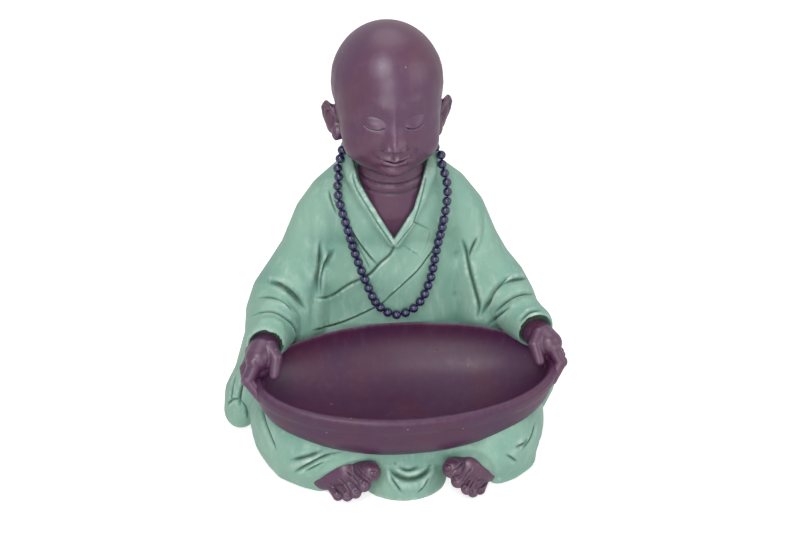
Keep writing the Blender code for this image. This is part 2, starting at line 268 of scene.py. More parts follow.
def taper(share, ends):
    """1 along a stroke, easing to 0 over the given share at each end."""
    if ends <= 0:
        return np.ones_like(share)
    return np.clip(np.minimum(share, 1 - share) / ends, 0, 1) ** 0.7


def groove(skin, line, depth, width, ends=0.25, dark=1.0, lip=0.0):
    """A cut with soft lips; the wash of dark paint gathers in it."""
    index, far, share, side = skin.field(line, width * 3.2 * MM)
    force = taper(share, ends)
    lift = -depth * np.exp(-(far / width) ** 2) + lip * np.exp(-((far - width * 1.7) / width) ** 2)
    skin.move(index, lift * force)
    np.maximum.at(skin.wash, index, dark * force * np.exp(-(far / (width * 0.6 + 0.1)) ** 2))


def ridge(skin, line, height, width, ends=0.3):
    """A round roll of cloth."""
    index, far, share, side = skin.field(line, width * 3 * MM)
    skin.move(index, height * np.exp(-(far / width) ** 2) * taper(share, ends))


def edge(skin, line, height, reach, side_up=1, ends=0.12, dark=1.0, cut=0.6):
    """The edge of a layer of cloth: one side stands up and eases away, with a
    shadow line at its foot."""
    index, far, share, side = skin.field(line, reach * 2.2 * MM)
    force = taper(share, ends)
    signed = far * side * side_up
    up = height * np.clip(0.5 + signed / 1.1, 0, 1) * np.exp(-np.clip(signed, 0, None) / reach)
    foot = -cut * np.exp(-((signed + 0.55) / 0.75) ** 2)
    skin.move(index, (up + foot) * force)
    np.maximum.at(skin.wash, index, dark * force * np.exp(-((signed + 0.45) / 0.6) ** 2))


def refine(skin, lines, reach):
    """Finer faces along the lines, so that they can hold a thin cut."""
    mesh = skin.item.data
    near = np.zeros(len(skin.at), bool)
    for line in lines:
        index, _, _, _ = skin.field(line, reach * MM)
        near[index] = True
    form = bmesh.new()
    form.from_mesh(mesh)
    form.verts.ensure_lookup_table()
    edges = [e for e in form.edges if near[e.verts[0].index] and near[e.verts[1].index]]
    bmesh.ops.subdivide_edges(form, edges=edges, cuts=1, use_grid_fill=True, smooth=0.0)
    bmesh.ops.triangulate(form, faces=[f for f in form.faces if len(f.verts) > 4])
    form.to_mesh(mesh)
    form.free()
    mesh.update()
    skin.wash = np.zeros(len(mesh.vertices))
    skin.refresh()


def ease(skin, rounds, strength=0.5, where=None):
    """Smooths the piece, everywhere or at the given points."""
    mesh = skin.item.data
    pairs = np.empty(len(mesh.edges) * 2, int)
    mesh.edges.foreach_get("vertices", pairs)
    a, b = pairs.reshape(-1, 2).T
    count = np.bincount(a, minlength=len(skin.at)) + np.bincount(b, minlength=len(skin.at))
    for _ in range(rounds):
        mean = np.zeros_like(skin.at)
        for k in range(3):
            mean[:, k] = (np.bincount(a, skin.at[b, k], len(skin.at))
                          + np.bincount(b, skin.at[a, k], len(skin.at)))
        mean /= count[:, None]
        move = (mean - skin.at) * strength
        if where is not None:
            move *= where[:, None]
        skin.at += move


def store_paint(skin, rounds=3):
    """Keeps where the wash gathers and where hollows get painted shade (crease), and the ridges that get a painted
    highlight.
    """
    skin.write()
    mesh = skin.item.data
    skin.refresh()
    pairs = np.empty(len(mesh.edges) * 2, int)
    mesh.edges.foreach_get("vertices", pairs)
    a, b = pairs.reshape(-1, 2).T
    n = len(skin.at)
    count = np.bincount(a, minlength=n) + np.bincount(b, minlength=n)
    step = skin.at[b] - skin.at[a]
    long2 = np.maximum((step ** 2).sum(1), 1e-12)
    bend = (np.bincount(a, np.einsum('ij,ij->i', step, skin.out[a]) / long2, n)
            + np.bincount(b, np.einsum('ij,ij->i', -step, skin.out[b]) / long2, n)) / count
    bend *= MM                                   # per mm, positive in hollows
    for _ in range(rounds):
        bend = 0.5 * bend + 0.5 * (np.bincount(a, bend[b], n) + np.bincount(b, bend[a], n)) / count
    # crease: the wash of the cut lines, and inward bends that get painted shade
    crease = np.clip(np.maximum(skin.wash, np.clip(bend * 4.0 - 0.14, 0, 0.32)), 0, 1)
    # outward bends: the ridges that get a painted highlight
    ridge_highlight = np.clip(-bend * 4.0 - 0.12, 0, 1)
    for name, value in (("crease", crease), ("ridge_highlight", ridge_highlight)):
        layer = mesh.attributes.new(name, 'FLOAT', 'POINT')
        layer.data.foreach_set("value", value.astype(np.float32))


robe_clay = []
limb(robe_clay, [(1, 24, 152), (1, 24, 140), (1, 25, 124), (1, 26, 100), (2, 26.5, 82), (2, 27, 64),
                 (1, 20, 36), (1, 14, 20)],
     [(22, 17, 12), (34, 23, 16), (42, 29, 24), (45, 33, 28), (50, 32.5, 26), (55, 33, 30), (66, 38, 28),
      (70, 44, 24)], 0.12)
ball(robe_clay, (1, 13, 132), (39, 19, 29))
limb(robe_clay, [(-15, 22, 152), (-28, 20, 137.2), (-35, 20, 126.4), (-43.5, 19, 106), (-50.5, 17, 95),
                 (-58, 13, 84), (-62, 6, 78), (-66, -10, 76.5), (-69, -22, 77.5)],
     [12, 15, 15.5, 15.5, 16, 17, 16.5, 14, 11.5])
limb(robe_clay, [(17, 22, 152), (31, 20, 137.2), (39, 20, 125.6), (46.5, 19, 107), (53, 17, 94),
                 (61, 13, 84), (65, 6, 78), (68.5, -10, 76.5), (73.5, -22, 76.5)],
     [12, 15, 15.5, 15.5, 16, 16, 15.5, 12.5, 11.5])
limb(robe_clay, [(-44, 16, 96), (-54, 14, 70), (-60, 18, 30)], [17, 22, 26])
limb(robe_clay, [(46, 16, 96), (55, 14, 70), (59, 18, 30)], [17, 22, 26])
limb(robe_clay, [(-65, 2, 70), (-70.5, 10, 46), (-81, 18, 22), (-82.5, 20, 10)],
     [(14, 16, 14), (11, 14, 12), (10, 14, 11), (9.5, 12, 10)])
limb(robe_clay, [(69, 0, 70), (78, 4, 50), (83.2, 6, 26), (81, 14, 10)],
     [(14, 16, 14), (11.5, 14, 12), (10, 14, 11), (9.5, 12, 10)])
limb(robe_clay, [(-60, -38, 9), (-51, -46, 8), (-44, -50, 6)], [9, 8.5, 7])
limb(robe_clay, [(64, -44, 9), (57, -51, 8), (51, -55, 7)], [10, 9, 7.5])
ball(robe_clay, (-46, -17, 24), (33, 45, 34))
ball(robe_clay, (49, -21, 24), (32, 47, 34))
limb(robe_clay, [(-45, -40, 24), (-20, -45, 27), (2, -46, 26), (25, -46, 27), (46, -43, 24)],
     [20, 17, 17, 17, 20])
ball(robe_clay, (1, -46, 5), (24, 23, 20))
ball(robe_clay, (0, -12, 14), (70, 42, 26))
limb(robe_clay, [(1, -5, 124), (-6, -4, 134), (-13, -1, 146), (-19, 5, 157), (-21, 16, 163),
                 (-18, 29, 163), (-10, 35, 163), (1, 37, 163), (12, 35, 163), (20, 29, 163),
                 (23, 16, 163), (20, 5, 157), (15, -1, 146), (8, -4, 134), (2, -5, 124)],
     [4.5, 4.5, 5, 5, 5.5, 6, 6.5, 6.5, 6.5, 6, 5.5, 5, 5, 4.5, 4.5])
limb(robe_clay, [(-62, -14, 80), (-61, -20, 74.5)], [8, 5])
limb(robe_clay, [(68, -14, 81), (69, -19, 77)], [8, 5.5])
robe = pour("robe", robe_clay, 1.3, 8)
robe_skin = Skin(robe)

# Strokes: kind, line in the picture, then height or depth (mm), width (mm), side or ends.
COLLAR_LEFT = [(352, 172), (356, 188), (366, 205), (379, 226), (393, 246)]
COLLAR_RIGHT = [(426, 176), (422, 196), (414, 222), (403.7, 236.5), (396, 246)]
NECKLINE = [(350, 150), (357.8, 180), (368, 198), (381, 219), (394, 240.5), (403, 226), (414, 208.7),
            (420, 189.6), (430, 150)]
# thin cuts and the edges of layers: collar, seams, armpits, sleeves, tail, knees, drape
FINE = [
    ("groove", COLLAR_LEFT, 0.6, 0.5, 0.06), ("groove", COLLAR_RIGHT, 0.6, 0.5, 0.06),
    ("edge", [(333, 196), (343, 214), (355.8, 236), (367, 252), (378, 265)], 0.9, 3.5, 1),
    ("groove", [(349, 232), (360, 250), (371, 271)], 0.35, 0.4, 0.15),
    ("edge", [(396, 245), (390, 255), (380, 264), (368, 276), (349, 285), (330, 297), (313, 299)], 1.3, 5, 1),
    ("edge", [(440, 213.5), (438, 230), (435, 245), (425.7, 258.5), (416, 271), (400, 286),
                (383.6, 300.6)], 1.1, 5, -1),
    ("edge", [(390, 297), (374, 307), (344, 320.6), (312, 330)], 1.0, 5, -1),
    ("groove", [(414, 222), (422, 226), (430, 230)], 0.5, 0.5, 0.05),
    ("groove", [(403, 245), (412, 251), (420, 256.5)], 0.5, 0.5, 0.05),
    ("groove", [(431, 229), (427, 244), (421, 256)], 0.5, 0.5, 0.05),
    ("groove", [(320.3, 240.6), (319.7, 261), (317, 279), (316.7, 296.4)], 1.5, 1.2, 0.3),
    ("groove", [(334.8, 247.9), (325.8, 262.4), (320.9, 279.4), (320.9, 296.4)], 1.2, 1.0, 0.35),
    ("groove", [(328.2, 188.5), (330.6, 200.6), (336.7, 215)], 0.7, 0.9, 0.3),
    ("groove", [(265, 281.5), (279.5, 285), (293, 295), (302.6, 307), (305.6, 312.4)], 1.8, 1.3, 0.3),
    ("groove", [(250.5, 316.7), (260, 312), (271, 311), (280, 314), (291.7, 322.7), (297.7, 333.6)], 1.5, 1.2, 0.3),
    ("groove", [(257, 298), (270, 297), (284, 302), (295, 313)], 0.8, 1.2, 0.35),
    ("groove", [(461.5, 238.2), (466.4, 252.7), (470, 270.9), (474.8, 289), (479, 306), (476.7, 319.4)], 1.6, 1.1, 0.2),
    ("groove", [(477.3, 237), (470, 252.7), (468.2, 260)], 1.2, 1.0, 0.3),
    ("groove", [(508.8, 275), (496.7, 287.9), (487, 304.8), (480.3, 318.2)], 1.8, 1.2, 0.3),
    ("groove", [(527, 278), (511, 280.6), (499, 286.7)], 1.0, 1.1, 0.3),
    ("groove", [(536.7, 294), (520.9, 294), (506.4, 301), (493, 313.3)], 1.5, 1.2, 0.3),
    ("groove", [(511, 306), (499, 314.5), (487, 326.7)], 1.1, 1.1, 0.3),
    ("groove", [(541.5, 309.7), (529.4, 312), (518.5, 321.8)], 1.2, 1.0, 0.3),
    ("groove", [(243, 377), (239.5, 395.5), (240, 407)], 1.5, 1.3, 0.3),
    ("groove", [(236, 372), (232, 390), (231, 404)], 0.9, 1.0, 0.3),
    ("groove", [(227, 404), (234, 399), (241, 401), (246, 408), (248, 419)], 0.9, 0.8, 0.1),
    ("groove", [(261, 407), (266, 424.8), (276.3, 451.6)], 1.6, 1.3, 0.25),
    ("groove", [(289, 460.5), (305.7, 456.7), (324.8, 450.3)], 1.3, 1.1, 0.3),
    ("groove", [(293, 473.3), (307, 465.6), (324.8, 456.7), (344, 451.6)], 1.3, 1.1, 0.3),
    ("groove", [(304.4, 472), (324.8, 461.8)], 0.9, 0.9, 0.3),
    ("groove", [(515, 447.8), (524, 444), (527.8, 437.6)], 1.3, 1.1, 0.3),
    ("groove", [(504.8, 454), (517.6, 461.8)], 0.9, 0.9, 0.3),
    ("groove", [(536, 420), (531, 438), (520, 452)], 0.8, 1.2, 0.3),
    ("groove", [(388.3, 466.8), (395.7, 474.2), (406.8, 478.9), (418.8, 477), (428, 470.5),
                (431.7, 464)], 1.8, 1.3, 0.2),
    ("groove", [(389.2, 471.5), (393.8, 481.6), (402, 493.7)], 1.0, 1.0, 0.3),
    ("groove", [(398, 466), (408, 470), (420, 466)], 1.0, 1.0, 0.3),
    ("groove", [(430, 476), (425, 486), (417, 494)], 0.8, 0.9, 0.3),
]
# round rolls and wide hollows under them
BROAD = [
    ("ridge", [(314, 240), (312, 262), (311, 290)], 1.2, 2.6), ("ridge", [(327, 246), (324, 262)], 1.2, 1.6),
    ("ridge", [(338, 250), (331, 268), (328, 292)], 1.0, 2.4),
    ("groove", [(308.8, 204.2), (307.6, 224.8), (310, 249), (314.8, 279.4), (314, 309.7),
                (313.6, 330)], 1.6, 2.6, 0.25),
    ("groove", [(299, 200), (301, 225), (300, 255)], 0.8, 2.2, 0.3),
    ("ridge", [(268, 276), (284, 279), (298, 289), (308, 302)], 1.6, 2.6),
    ("ridge", [(255, 306), (272, 303), (286, 308), (300, 320)], 1.8, 2.6),
    ("ridge", [(256, 322), (272, 320), (286, 328)], 1.4, 2.4),
    ("groove", [(471.2, 203), (470, 224.8), (469.4, 243)], 1.0, 2.2, 0.3),
    ("groove", [(483.3, 207.9), (485.8, 227.3), (483.3, 243), (474.8, 256.4), (468.8, 262.4)], 1.2, 2.0, 0.3),
    ("ridge", [(477, 206), (478, 226), (474, 243)], 1.0, 2.4),
    ("ridge", [(522, 271), (505, 283), (493, 299), (486, 312)], 1.5, 2.4),
    ("ridge", [(533, 286), (516, 287), (502, 294), (489, 307)], 1.5, 2.4),
    ("ridge", [(540, 301), (524, 301), (508, 310), (496, 322)], 1.4, 2.4),
    ("ridge", [(548, 318), (534, 318), (522, 328)], 1.0, 2.2),
    ("ridge", [(268, 402), (273, 424), (284, 447)], 1.3, 2.8),
    ("ridge", [(256, 410), (260, 430), (270, 452)], 1.2, 2.6),
    ("ridge", [(285, 468), (303, 461), (322, 454)], 1.2, 2.0),
    ("ridge", [(384, 461), (393, 481), (407, 487), (424, 482), (436, 466)], 1.6, 2.4),
    ("ridge", [(524, 428), (518, 446), (506, 458)], 1.2, 2.6),
    ("ridge", [(314.6, 478.4), (332.4, 466.9), (350.3, 459.2), (369.4, 457), (382, 463)], 1.5, 2.0),
    ("ridge", [(440, 455), (456, 449), (473, 447.8), (487, 452.9), (495.9, 465.6), (494.6, 475.8)], 1.3, 2.0),
]
# Sides and back, which the picture doesn't show, in mm on the figure and plainer.
BACK = [
    ("groove", [(-30, 60, 128), (-34, 62, 95), (-42, 62, 60), (-50, 58, 18)], 1.3, 2.4, 0.25),
    ("groove", [(33, 60, 126), (36, 62, 92), (42, 62, 58), (46, 60, 22)], 1.3, 2.4, 0.25),
    ("groove", [(-6, 60, 112), (-9, 64, 76), (-16, 64, 40), (-19, 62, 12)], 1.0, 2.6, 0.3),
    ("groove", [(12, 60, 104), (14, 64, 70), (20, 64, 36), (22, 62, 10)], 1.0, 2.6, 0.3),
    ("ridge", [(-20, 60, 120), (-23, 64, 84), (-30, 64, 46), (-35, 62, 12)], 1.2, 3.4),
    ("ridge", [(23, 60, 118), (26, 64, 82), (31, 64, 44), (34, 62, 12)], 1.2, 3.4),
    ("groove", [(-60, 40, 92), (-68, 36, 66), (-74, 36, 34)], 1.5, 2.0, 0.25),
    ("groove", [(62, 40, 92), (68, 36, 64), (72, 34, 30)], 1.5, 2.0, 0.25),
    ("groove", [(-72, 22, 96), (-66, 28, 82), (-72, 30, 60)], 1.3, 1.8, 0.3),
    ("groove", [(74, 22, 94), (68, 28, 80), (72, 28, 58)], 1.3, 1.8, 0.3),
    ("groove", [(-84, 4, 62), (-90, 14, 40), (-94, 18, 18)], 1.2, 1.6, 0.3),
    ("groove", [(88, 0, 62), (92, 8, 38), (92, 12, 16)], 1.2, 1.6, 0.3),
    ("groove", [(-84, -10, 20), (-82, -34, 16), (-70, -56, 14)], 1.0, 1.8, 0.3),
    ("groove", [(84, -14, 20), (80, -40, 16), (68, -62, 14)], 1.0, 1.8, 0.3),
]


def draw(skin, strokes, place):
    for kind, points, *numbers in strokes:
        line = place(points)
        if len(line) < 2:
            continue
        if kind == "groove":
            depth, width, ends = numbers
            groove(skin, line, depth, width, ends, min(1.0, 0.64 + depth * 0.28), depth * 0.25)
        elif kind == "ridge":
            ridge(skin, line, *numbers)
        else:
            height, reach, side = numbers
            edge(skin, line, height, reach, side)


def picture_of(points):
    """Where points (in metres) fall in the picture."""
    local = (points - np.array(view_place)) @ np.array(view_turn.to_matrix())
    return np.stack([SIGHT_X + LENS_PIXELS * local[:, 0] / -local[:, 2],
                     SIGHT_Y - LENS_PIXELS * local[:, 1] / -local[:, 2]], 1)


def inside(shape, points):
    """How many pixels a point lies inside a closed shape (0 outside it)."""
    a = np.array(shape, float)
    b = np.roll(a, -1, 0)
    gap = np.full(len(points), 1e9)
    odd = np.zeros(len(points), bool)
    for (ax, ay), (bx, by) in zip(a, b):
        t = np.clip(((points[:, 0] - ax) * (bx - ax) + (points[:, 1] - ay) * (by - ay))
                    / ((bx - ax) ** 2 + (by - ay) ** 2), 0, 1)
        gap = np.minimum(gap, np.hypot(points[:, 0] - ax - t * (bx - ax),
                                       points[:, 1] - ay - t * (by - ay)))
        cross = (ay > points[:, 1]) != (by > points[:, 1])
        odd ^= cross & (points[:, 0] < ax + (points[:, 1] - ay) * (bx - ax) / ((by - ay) if by != ay else 1e-9))
    return np.where(odd, gap, 0.0)


def cuff(skin, centre, way, radius, hollow):
    """The end of a sleeve: cut square, with a hollow in its mouth."""
    way = np.array(Vector(way).normalized())
    gap = skin.at - np.array(centre) * MM
    along = gap @ way
    across = np.linalg.norm(gap - along[:, None] * way, axis=1) / MM
    end = (along > 0) & (across < radius * 1.5)
    skin.at[end] -= along[end, None] * way
    mouth = (along > -0.4 * MM) & (across < radius * 1.5)
    push = hollow * MM * np.clip((radius - across) / 1.6, 0, 1)
    skin.at[mouth] -= push[mouth, None] * way
    # the mouth is painted dark, most in its middle: painted shade inside the sleeve
    skin.wash[mouth] = np.maximum(skin.wash[mouth], np.clip((radius - across[mouth]) / 3, 0, 0.9))


draw(robe_skin, BROAD, robe_skin.seen)
draw(robe_skin, BACK, robe_skin.near)
robe_skin.write()
robe_skin.refresh()
refine(robe_skin, [robe_skin.seen(stroke[1]) for stroke in FINE] + [robe_skin.seen(NECKLINE)], 2.6)
ease(robe_skin, 1)
robe_skin.write()
robe_skin.refresh()
draw(robe_skin, FINE, robe_skin.seen)
# the neck opening: inside the neckline the robe drops back behind the skin
NECK_DROP, NECK_EDGE = 6.5, 1.4                     # mm back, and pixels over which it drops
towards = np.array(view_back)
facing = (robe_skin.out @ towards > -0.2) & (robe_skin.at[:, 1] < 0.012) & (robe_skin.at[:, 2] > 0.105)
hole = inside(NECKLINE, picture_of(robe_skin.at)) * facing
robe_skin.at -= towards * (np.clip(hole / NECK_EDGE, 0, 1) * NECK_DROP * MM)[:, None]
CUFF_HOLLOW = 3.5
for cuff_centre, outward, cuff_radius in (((-69.3, -28.5, 77), -0.22, 9.8), ((74.3, -28.5, 76.2), 0.22, 10.2)):
    cuff(robe_skin, cuff_centre, (outward, -0.96, -0.12), cuff_radius, CUFF_HOLLOW)


# The lap under the bowl is pushed down into the bowl's wall, so that it never shows
# inside it. The sleeves, which do reach over the rim, are left alone.
BOWL_CENTRE = Vector((3.0, -40.5, 65.0)) * MM
BOWL_TILT = math.radians(13.5)
BOWL_HALF_LENGTH, BOWL_HALF_WIDTH = 76.0, 35.8      # of the hollow, mm
BOWL_WALL, BOWL_DEPTH, BOWL_FOOT = 5.2, 27.0, 17.0
SLEEVE_FROM, SLEEVE_ABOVE = 52, 60                  # mm to the side, and above the ground
bowl_turn = Matrix.Rotation(BOWL_TILT, 3, 'X')


def in_bowl(points):
    """Points in mm in the bowl's own upright frame, from the middle of its rim."""
    return (points - np.array(BOWL_CENTRE)) @ np.array(bowl_turn) / MM


def sink_lap(skin):
    local = in_bowl(skin.at)
    half_x, half_y = BOWL_HALF_LENGTH + BOWL_WALL * 0.45, BOWL_HALF_WIDTH + BOWL_WALL * 0.45
    far = np.hypot(local[:, 0] / half_x, local[:, 1] / half_y)
    inside = (far < 1) & (local[:, 2] < 2.0)
    wall = -(BOWL_DEPTH + BOWL_FOOT * 0.55) * np.sqrt(np.clip(1 - far ** 2, 0, 1))
    sleeve = (np.abs(local[:, 0]) > SLEEVE_FROM) & (skin.at[:, 2] > SLEEVE_ABOVE * MM)
    low = inside & (local[:, 2] > wall) & ~sleeve
    local[low, 2] = wall[low]
    skin.at[low] = (local[low] * MM) @ np.array(bowl_turn).T + np.array(BOWL_CENTRE)


sink_lap(robe_skin)
flat = robe_skin.at[:, 2] < 0
robe_skin.at[flat, 2] = 0
store_paint(robe_skin, 7)


# Paint: shared node groups. The coat group mixes the coat with its tint, painted shade in its hollows,
# a painted highlight with dry-brushed streaks on its ridges and the dark wash in its cut lines; grain is the cast
# resin's faint roughness, dust the pale specks.
def group(name, inputs, outputs):
    tree = bpy.data.node_groups.new(name, 'ShaderNodeTree')
    for label, kind, value in inputs:
        socket = tree.interface.new_socket(name=label, in_out='INPUT', socket_type=kind)
        if value is not None:
            socket.default_value = value
    for label, kind in outputs:
        tree.interface.new_socket(name=label, in_out='OUTPUT', socket_type=kind)
    return tree, tree.nodes.new('NodeGroupInput'), tree.nodes.new('NodeGroupOutput')


def noise(tree, coords, scale, detail, rough=0.5, stretch=None):
    node = tree.nodes.new('ShaderNodeTexNoise')
    node.inputs["Scale"].default_value = scale
    node.inputs["Detail"].default_value = detail
    node.inputs["Roughness"].default_value = rough
    if stretch:
        mapping = tree.nodes.new('ShaderNodeMapping')
        mapping.inputs["Scale"].default_value = stretch
        tree.links.new(coords, mapping.inputs["Vector"])
        coords = mapping.outputs["Vector"]
    tree.links.new(coords, node.inputs["Vector"])
    return node.outputs["Fac"]


def spread(tree, value, low, high, to_low=0.0, to_high=1.0):
    node = tree.nodes.new('ShaderNodeMapRange')
    node.inputs["From Min"].default_value = low
    node.inputs["From Max"].default_value = high
    node.inputs["To Min"].default_value = to_low
    node.inputs["To Max"].default_value = to_high
    tree.links.new(value, node.inputs["Value"])
    return node.outputs["Result"]


def calc(tree, kind, a, b, clamp=True):
    node = tree.nodes.new('ShaderNodeMath')
    node.operation = kind
    node.use_clamp = clamp
    for k, v in ((0, a), (1, b)):
        if isinstance(v, (int, float)):
            node.inputs[k].default_value = v
        else:
            tree.links.new(v, node.inputs[k])
    return node.outputs["Value"]


def blend(tree, factor, a, b):
    node = tree.nodes.new('ShaderNodeMix')
    node.data_type = 'RGBA'
    tree.links.new(factor, node.inputs["Factor"])
    tree.links.new(a, node.inputs["A"])
    tree.links.new(b, node.inputs["B"])
    return node.outputs["Result"]


coat_and_light, enter, leave = group("coat_wash_and_painted_light", [("Coat", 'NodeSocketColor', None), ("Tint", 'NodeSocketColor', None),
                                          ("Ridge", 'NodeSocketColor', None), ("HollowShade", 'NodeSocketColor', None),
                                          ("Wash", 'NodeSocketColor', None), ("Rub", 'NodeSocketFloat', 1.0)],
                           [("Color", 'NodeSocketColor'), ("Rough", 'NodeSocketFloat')])
coords = coat_and_light.nodes.new('ShaderNodeTexCoord').outputs["Object"]
crease_node, ridge_highlight_node = coat_and_light.nodes.new('ShaderNodeAttribute'), coat_and_light.nodes.new('ShaderNodeAttribute')
crease_node.attribute_name, ridge_highlight_node.attribute_name = "crease", "ridge_highlight"
crease, ridge_highlight = crease_node.outputs["Fac"], ridge_highlight_node.outputs["Fac"]
cloud = noise(coat_and_light, coords, 38, 3)
streak = noise(coat_and_light, coords, 260, 4, 0.65, (1, 1, 0.35))
speck = noise(coat_and_light, coords, 900, 2)
coat = blend(coat_and_light, spread(coat_and_light, cloud, 0.38, 0.66), enter.outputs["Coat"], enter.outputs["Tint"])
# painted shade: the hollow tone where the crease mask is high
coat = blend(coat_and_light, calc(coat_and_light, 'MULTIPLY', spread(coat_and_light, crease, 0.08, 0.5), 0.85), coat, enter.outputs["HollowShade"])
# painted highlight: the ridge tone on outward bends, broken up by dry-brushed streaks, which also lie everywhere as a
# faint haze
highlight_and_drybrush = calc(coat_and_light, 'MULTIPLY', spread(coat_and_light, ridge_highlight, 0.0, 0.5), spread(coat_and_light, streak, 0.35, 0.62))
haze = calc(coat_and_light, 'MULTIPLY', spread(coat_and_light, streak, 0.52, 0.75), 0.35)
highlight_and_drybrush = calc(coat_and_light, 'MULTIPLY', calc(coat_and_light, 'MAXIMUM', highlight_and_drybrush, haze), enter.outputs["Rub"])
coat = blend(coat_and_light, highlight_and_drybrush, coat, enter.outputs["Ridge"])
gather = calc(coat_and_light, 'MULTIPLY', spread(coat_and_light, crease, 0.38, 0.95), spread(coat_and_light, speck, 0.2, 0.55, 0.55, 1.0))
coat = blend(coat_and_light, gather, coat, enter.outputs["Wash"])
coat_and_light.links.new(coat, leave.inputs["Color"])
coat_and_light.links.new(spread(coat_and_light, streak, 0.3, 0.7, -0.06, 0.06), leave.inputs["Rough"])

grain, enter, leave = group("cast_grain", [("Depth", 'NodeSocketFloat', 1.0)], [("Normal", 'NodeSocketVector')])
coords = grain.nodes.new('ShaderNodeTexCoord').outputs["Object"]
bump = grain.nodes.new('ShaderNodeBump')
bump.inputs["Distance"].default_value = 0.00012
grain.links.new(enter.outputs["Depth"], bump.inputs["Strength"])
fine = calc(grain, 'MULTIPLY', noise(grain, coords, 1100, 3, 0.6), 0.5)
broad = calc(grain, 'MULTIPLY', noise(grain, coords, 210, 3, 0.55), 0.8)
grain.links.new(calc(grain, 'ADD', fine, broad, False), bump.inputs["Height"])
grain.links.new(bump.outputs["Normal"], leave.inputs["Normal"])

dust, enter, leave = group("dust_specks", [("Color", 'NodeSocketColor', None), ("Amount", 'NodeSocketFloat', 1.0)],
                           [("Color", 'NodeSocketColor')])
coords = dust.nodes.new('ShaderNodeTexCoord').outputs["Object"]
cells = dust.nodes.new('ShaderNodeTexVoronoi')
cells.inputs["Scale"].default_value = 170
dust.links.new(coords, cells.inputs["Vector"])
lone = dust.nodes.new('ShaderNodeSeparateColor')
dust.links.new(cells.outputs["Color"], lone.inputs["Color"])
dots = calc(dust, 'MULTIPLY', spread(dust, cells.outputs["Distance"], 0.10, 0.04),
            spread(dust, lone.outputs["Red"], 0.80, 0.84))
dots = calc(dust, 'MULTIPLY', dots, enter.outputs["Amount"])
pale = dust.nodes.new('ShaderNodeRGB')
pale.outputs["Color"].default_value = (0.42, 0.36, 0.38, 1)
dust.links.new(blend(dust, dots, enter.outputs["Color"], pale.outputs["Color"]), leave.inputs["Color"])


def srgb(r, g, b):
    return (*[(c / 255 / 12.92 if c < 11 else ((c / 255 + 0.055) / 1.055) ** 2.4) for c in (r, g, b)], 1)


# Tones: coat and tint are the paint's own colour; the ridge tone is a painted highlight on ridges, the hollow tone
# painted shade in hollows, the wash the dark paint in cut lines.
def paint(name, coat, tint, ridge_highlight_tone, hollow, wash, rough, highlight_drybrush_amount=1.0, depth=0.5, specks=0.0, shine=0.5):
    material = bpy.data.materials.new(name)
    material.use_nodes = True
    tree = material.node_tree
    shader = tree.nodes["Principled BSDF"]
    shader.inputs["Specular IOR Level"].default_value = shine
    coat_node, grain_node, dust_node = (tree.nodes.new('ShaderNodeGroup') for _ in range(3))
    coat_node.node_tree, grain_node.node_tree, dust_node.node_tree = coat_and_light, grain, dust
    for label, tone in (("Coat", coat), ("Tint", tint), ("Ridge", ridge_highlight_tone), ("HollowShade", hollow), ("Wash", wash)):
        coat_node.inputs[label].default_value = srgb(*tone)
    coat_node.inputs["Rub"].default_value = highlight_drybrush_amount
    grain_node.inputs["Depth"].default_value = depth
    dust_node.inputs["Amount"].default_value = specks
    tree.links.new(coat_node.outputs["Color"], dust_node.inputs["Color"])
    tree.links.new(dust_node.outputs["Color"], shader.inputs["Base Color"])
    rougher = tree.nodes.new('ShaderNodeMath')
    rougher.inputs[1].default_value = rough
    tree.links.new(coat_node.outputs["Rough"], rougher.inputs[0])
    tree.links.new(rougher.outputs["Value"], shader.inputs["Roughness"])
    tree.links.new(grain_node.outputs["Normal"], shader.inputs["Normal"])
    return material


# Tones in order: coat, tint, ridge (painted highlight), hollow (painted shade), wash; then roughness, highlight and
# dry-brush amount, grain depth, specks, shine.
robe_paint = paint("robe_paint", (142, 182, 163), (122, 167, 152), (190, 214, 202), (76, 128, 117), (54, 62, 40),
                   0.45, 1.0, 0.9)
skin_paint = paint("skin_paint", (80, 40, 75), (86, 41, 69), (128, 96, 120), (52, 25, 54), (27, 13, 33),
                   0.38, 0.4, 0.5, 0.6, 0.8)
bowl_paint = paint("bowl_paint", (70, 30, 68), (78, 33, 63), (122, 90, 114), (46, 20, 50), (26, 12, 32),
                   0.44, 0.4, 0.6, 0.7, 0.55)
bead_paint = paint("bead_paint", (24, 21, 76), (20, 18, 64), (80, 74, 124), (16, 14, 48), (12, 10, 34),
                   0.26, 0.2, 0.3, 0.0, 0.9)
thread_paint = paint("thread_cord", (40, 36, 58), (34, 30, 50), (62, 58, 84), (26, 22, 38), (20, 16, 30),
                     0.75, 0.3, 0.4)
robe.data.materials.append(robe_paint)
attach(robe, "root")
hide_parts("monk_figure")


# Head: cast in one with the figure. A plain shaved skull tipped forward, a short creased
# neck running into the chest, and ears with a rolled rim and a long lobe.
TILT = math.radians(13)
FACE_OUT = np.array((0, -math.cos(TILT), -math.sin(TILT)))
FACE_UP = np.array((0, -math.sin(TILT), math.cos(TILT)))
EYE_LINE, MIDDLE = 196.5, -0.5

